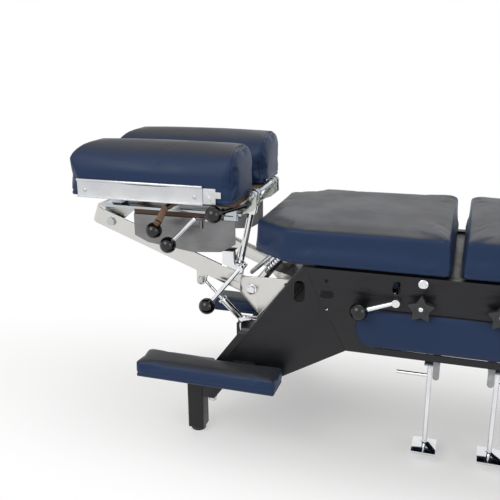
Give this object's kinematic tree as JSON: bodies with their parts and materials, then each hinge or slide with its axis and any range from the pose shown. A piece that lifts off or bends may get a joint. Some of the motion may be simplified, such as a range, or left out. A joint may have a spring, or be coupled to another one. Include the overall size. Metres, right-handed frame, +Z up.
{
  "type": "chiropractic table",
  "caption": "Stationary chiropractic table with drop sections, a tilting twin-cushion headpiece on a U-shaped arm, side armrests and a black steel side frame.",
  "frame": {"origin": "on the floor under the middle of the table's length and width", "axes": "+X from the head end to the foot end, +Z up, the side with the levers is -Y"},
  "size_m": [1.9161, 0.656, 0.786],
  "materials": {
    "upholstery": "navy vinyl, satin, paler on the tops",
    "frame_paint": "black satin powder coat",
    "polished": "polished plate",
    "zinc": "brushed and zinc plated",
    "bronzed": "yellow-brown passivated strap",
    "board": "stained plywood",
    "knobs": "black gloss",
    "star_knobs": "black matte"
  },
  "bodies": {
    "frame": {"side_rail_near": "frame_paint", "side_rail_far": "frame_paint", "gusset_near": "frame_paint", "gusset_far": "frame_paint", "front_plate": "frame_paint", "brace_near": "frame_paint", "brace_far": "frame_paint", "head_legs": "frame_paint", "foot_leg_frame": "frame_paint", "leg_glides": "star_knobs", "cross_channels": "frame_paint", "side_bolster_near": "upholstery", "side_bolster_far": "upholstery", "foot_pad": "upholstery", "foot_board": "board", "pad_hinge_pins": "zinc", "pivot_brackets": "polished", "pivot_bolt": "polished", "buffer_rods": "polished", "strut_clevis": "polished", "frame_bolts": "polished", "rod_guides": "frame_paint"},
    "thoracic_section": {"thoracic_pad": "upholstery", "thoracic_board": "board"},
    "pelvic_section": {"pelvic_pad": "upholstery", "pelvic_board": "board"},
    "thoracic_lever": {"thoracic_cam_lever": "polished", "thoracic_lever_ball": "knobs"},
    "pelvic_lever": {"pelvic_cam_lever": "polished", "pelvic_lever_ball": "knobs"},
    "thoracic_star": {"thoracic_star_knob": "star_knobs"},
    "pelvic_star": {"pelvic_star_knob": "star_knobs"},
    "thoracic_pedal": {"thoracic_pedal_rod": "polished"},
    "pelvic_pedal": {"pelvic_pedal_rod": "polished"},
    "arm": {"head_arm": "polished", "arm_bolts": "zinc", "link_sleeve": "polished"},
    "arm_lock": {"lock_lever": "polished", "lock_lever_ball": "knobs"},
    "strut_body": {"strut_cylinder": "polished"},
    "strut_piston": {"strut_rod": "polished"},
    "headpiece": {"headpiece_tray": "zinc", "head_planks": "board", "tilt_plates": "zinc"},
    "link": {"link_rod": "polished"},
    "drop_handle": {"drop_lever": "bronzed", "drop_lever_ball": "knobs"},
    "tilt_handle": {"tilt_lever": "polished", "tilt_lever_ball": "knobs"},
    "tension_handle": {"tension_knob": "knobs"},
    "head_cushions": {"head_board": "board", "head_pad_near": "upholstery", "head_pad_far": "upholstery", "drop_hinge": "zinc", "paper_clip": "zinc"},
    "paper_holder": {"paper_bar": "zinc"},
    "near_armrest": {"armrest_pad_near": "upholstery", "armrest_bracket_near": "frame_paint"},
    "far_armrest": {"armrest_pad_far": "upholstery", "armrest_bracket_far": "frame_paint"}
  },
  "joints": [
    {"name": "arm_tilt", "type": "hinge", "parent": "frame", "child": "arm", "pos_m": [-0.476, 0, 0.394], "axis": [0, 1, 0], "range_deg": [-25, 2]},
    {"name": "headpiece_tilt", "type": "hinge", "parent": "arm", "child": "headpiece", "pos_m": [-0.891, 0, 0.549], "axis": [0, -1, 0], "range_deg": [-3, 6]},
    {"name": "link_swing", "type": "hinge", "parent": "headpiece", "child": "link", "pos_m": [-0.482, -0.094, 0.618], "axis": [0, -1, 0], "range_deg": [-1.3, 0.7]},
    {"name": "strut_swing", "type": "hinge", "parent": "frame", "child": "strut_body", "pos_m": [-0.51, -0.1, 0.291], "axis": [0, 1, 0], "range_deg": [-20, 1.8]},
    {"name": "strut_slide", "type": "slide", "parent": "strut_body", "child": "strut_piston", "axis": [-0.7195, 0, 0.6945], "range_m": [-0.046, 0.005]},
    {"name": "head_drop", "type": "hinge", "parent": "headpiece", "child": "head_cushions", "pos_m": [-0.477, 0, 0.648], "axis": [0, 1, 0], "range_deg": [0, 1.6]},
    {"name": "thoracic_drop", "type": "hinge", "parent": "frame", "child": "thoracic_section", "pos_m": [-0.288, 0, 0.488], "axis": [0, -1, 0], "range_deg": [0, 2.2]},
    {"name": "pelvic_drop", "type": "hinge", "parent": "frame", "child": "pelvic_section", "pos_m": [0.477, 0, 0.488], "axis": [0, 1, 0], "range_deg": [0, 1.8]},
    {"name": "thoracic_cocking", "type": "hinge", "parent": "frame", "child": "thoracic_lever", "pos_m": [-0.083, 0, 0.448], "axis": [0, 1, 0], "range_deg": [0, 32.2]},
    {"name": "pelvic_cocking", "type": "hinge", "parent": "frame", "child": "pelvic_lever", "pos_m": [0.209, 0, 0.448], "axis": [0, -1, 0], "range_deg": [0, 32.3]},
    {"name": "thoracic_tension", "type": "hinge", "parent": "frame", "child": "thoracic_star", "pos_m": [-0.025, -0.25, 0.44], "axis": [0, -1, 0], "continuous": true},
    {"name": "pelvic_tension", "type": "hinge", "parent": "frame", "child": "pelvic_star", "pos_m": [0.151, -0.25, 0.44], "axis": [0, -1, 0], "continuous": true},
    {"name": "thoracic_release", "type": "slide", "parent": "frame", "child": "thoracic_pedal", "axis": [0, 0, 1], "range_m": [-0.025, 0], "stiffness_N_per_m": 300, "springref_m": 0.05},
    {"name": "pelvic_release", "type": "slide", "parent": "frame", "child": "pelvic_pedal", "axis": [0, 0, 1], "range_m": [-0.025, 0], "stiffness_N_per_m": 300, "springref_m": 0.05},
    {"name": "arm_lock_turn", "type": "hinge", "parent": "arm", "child": "arm_lock", "pos_m": [-0.506, -0.118, 0.452], "axis": [0, -1, 0], "range_deg": [-15, 20]},
    {"name": "drop_cocking", "type": "hinge", "parent": "headpiece", "child": "drop_handle", "pos_m": [-0.69, -0.128, 0.618], "axis": [0, -1, 0], "range_deg": [-30, 0]},
    {"name": "tilt_lock", "type": "hinge", "parent": "headpiece", "child": "tilt_handle", "pos_m": [-0.592, -0.128, 0.586], "axis": [0, -1, 0], "range_deg": [0, 22]},
    {"name": "head_tension", "type": "hinge", "parent": "headpiece", "child": "tension_handle", "pos_m": [-0.492, -0.109, 0.622], "axis": [0, -1, 0], "range_deg": [0, 20]},
    {"name": "paper_lift", "type": "hinge", "parent": "head_cushions", "child": "paper_holder", "pos_m": [-0.748, -0.2223, 0.687], "axis": [-1, 0, 0], "range_deg": [0, 60]},
    {"name": "near_armrest_height", "type": "slide", "parent": "frame", "child": "near_armrest", "axis": [0, 0, 1], "range_m": [-0.02, 0.05]},
    {"name": "far_armrest_height", "type": "slide", "parent": "frame", "child": "far_armrest", "axis": [0, 0, 1], "range_m": [-0.02, 0.05]}
  ],
  "couplings": [
    {"joint": "strut_swing", "follows": "arm_tilt", "ratio": 0.77},
    {"joint": "strut_slide", "follows": "arm_tilt", "m_per_rad": 0.102},
    {"joint": "link_swing", "follows": "headpiece_tilt", "ratio": -0.185},
    {"joint": "thoracic_cocking", "follows": "thoracic_drop", "ratio": 14.6},
    {"joint": "pelvic_cocking", "follows": "pelvic_drop", "ratio": 17.9}
  ]
}
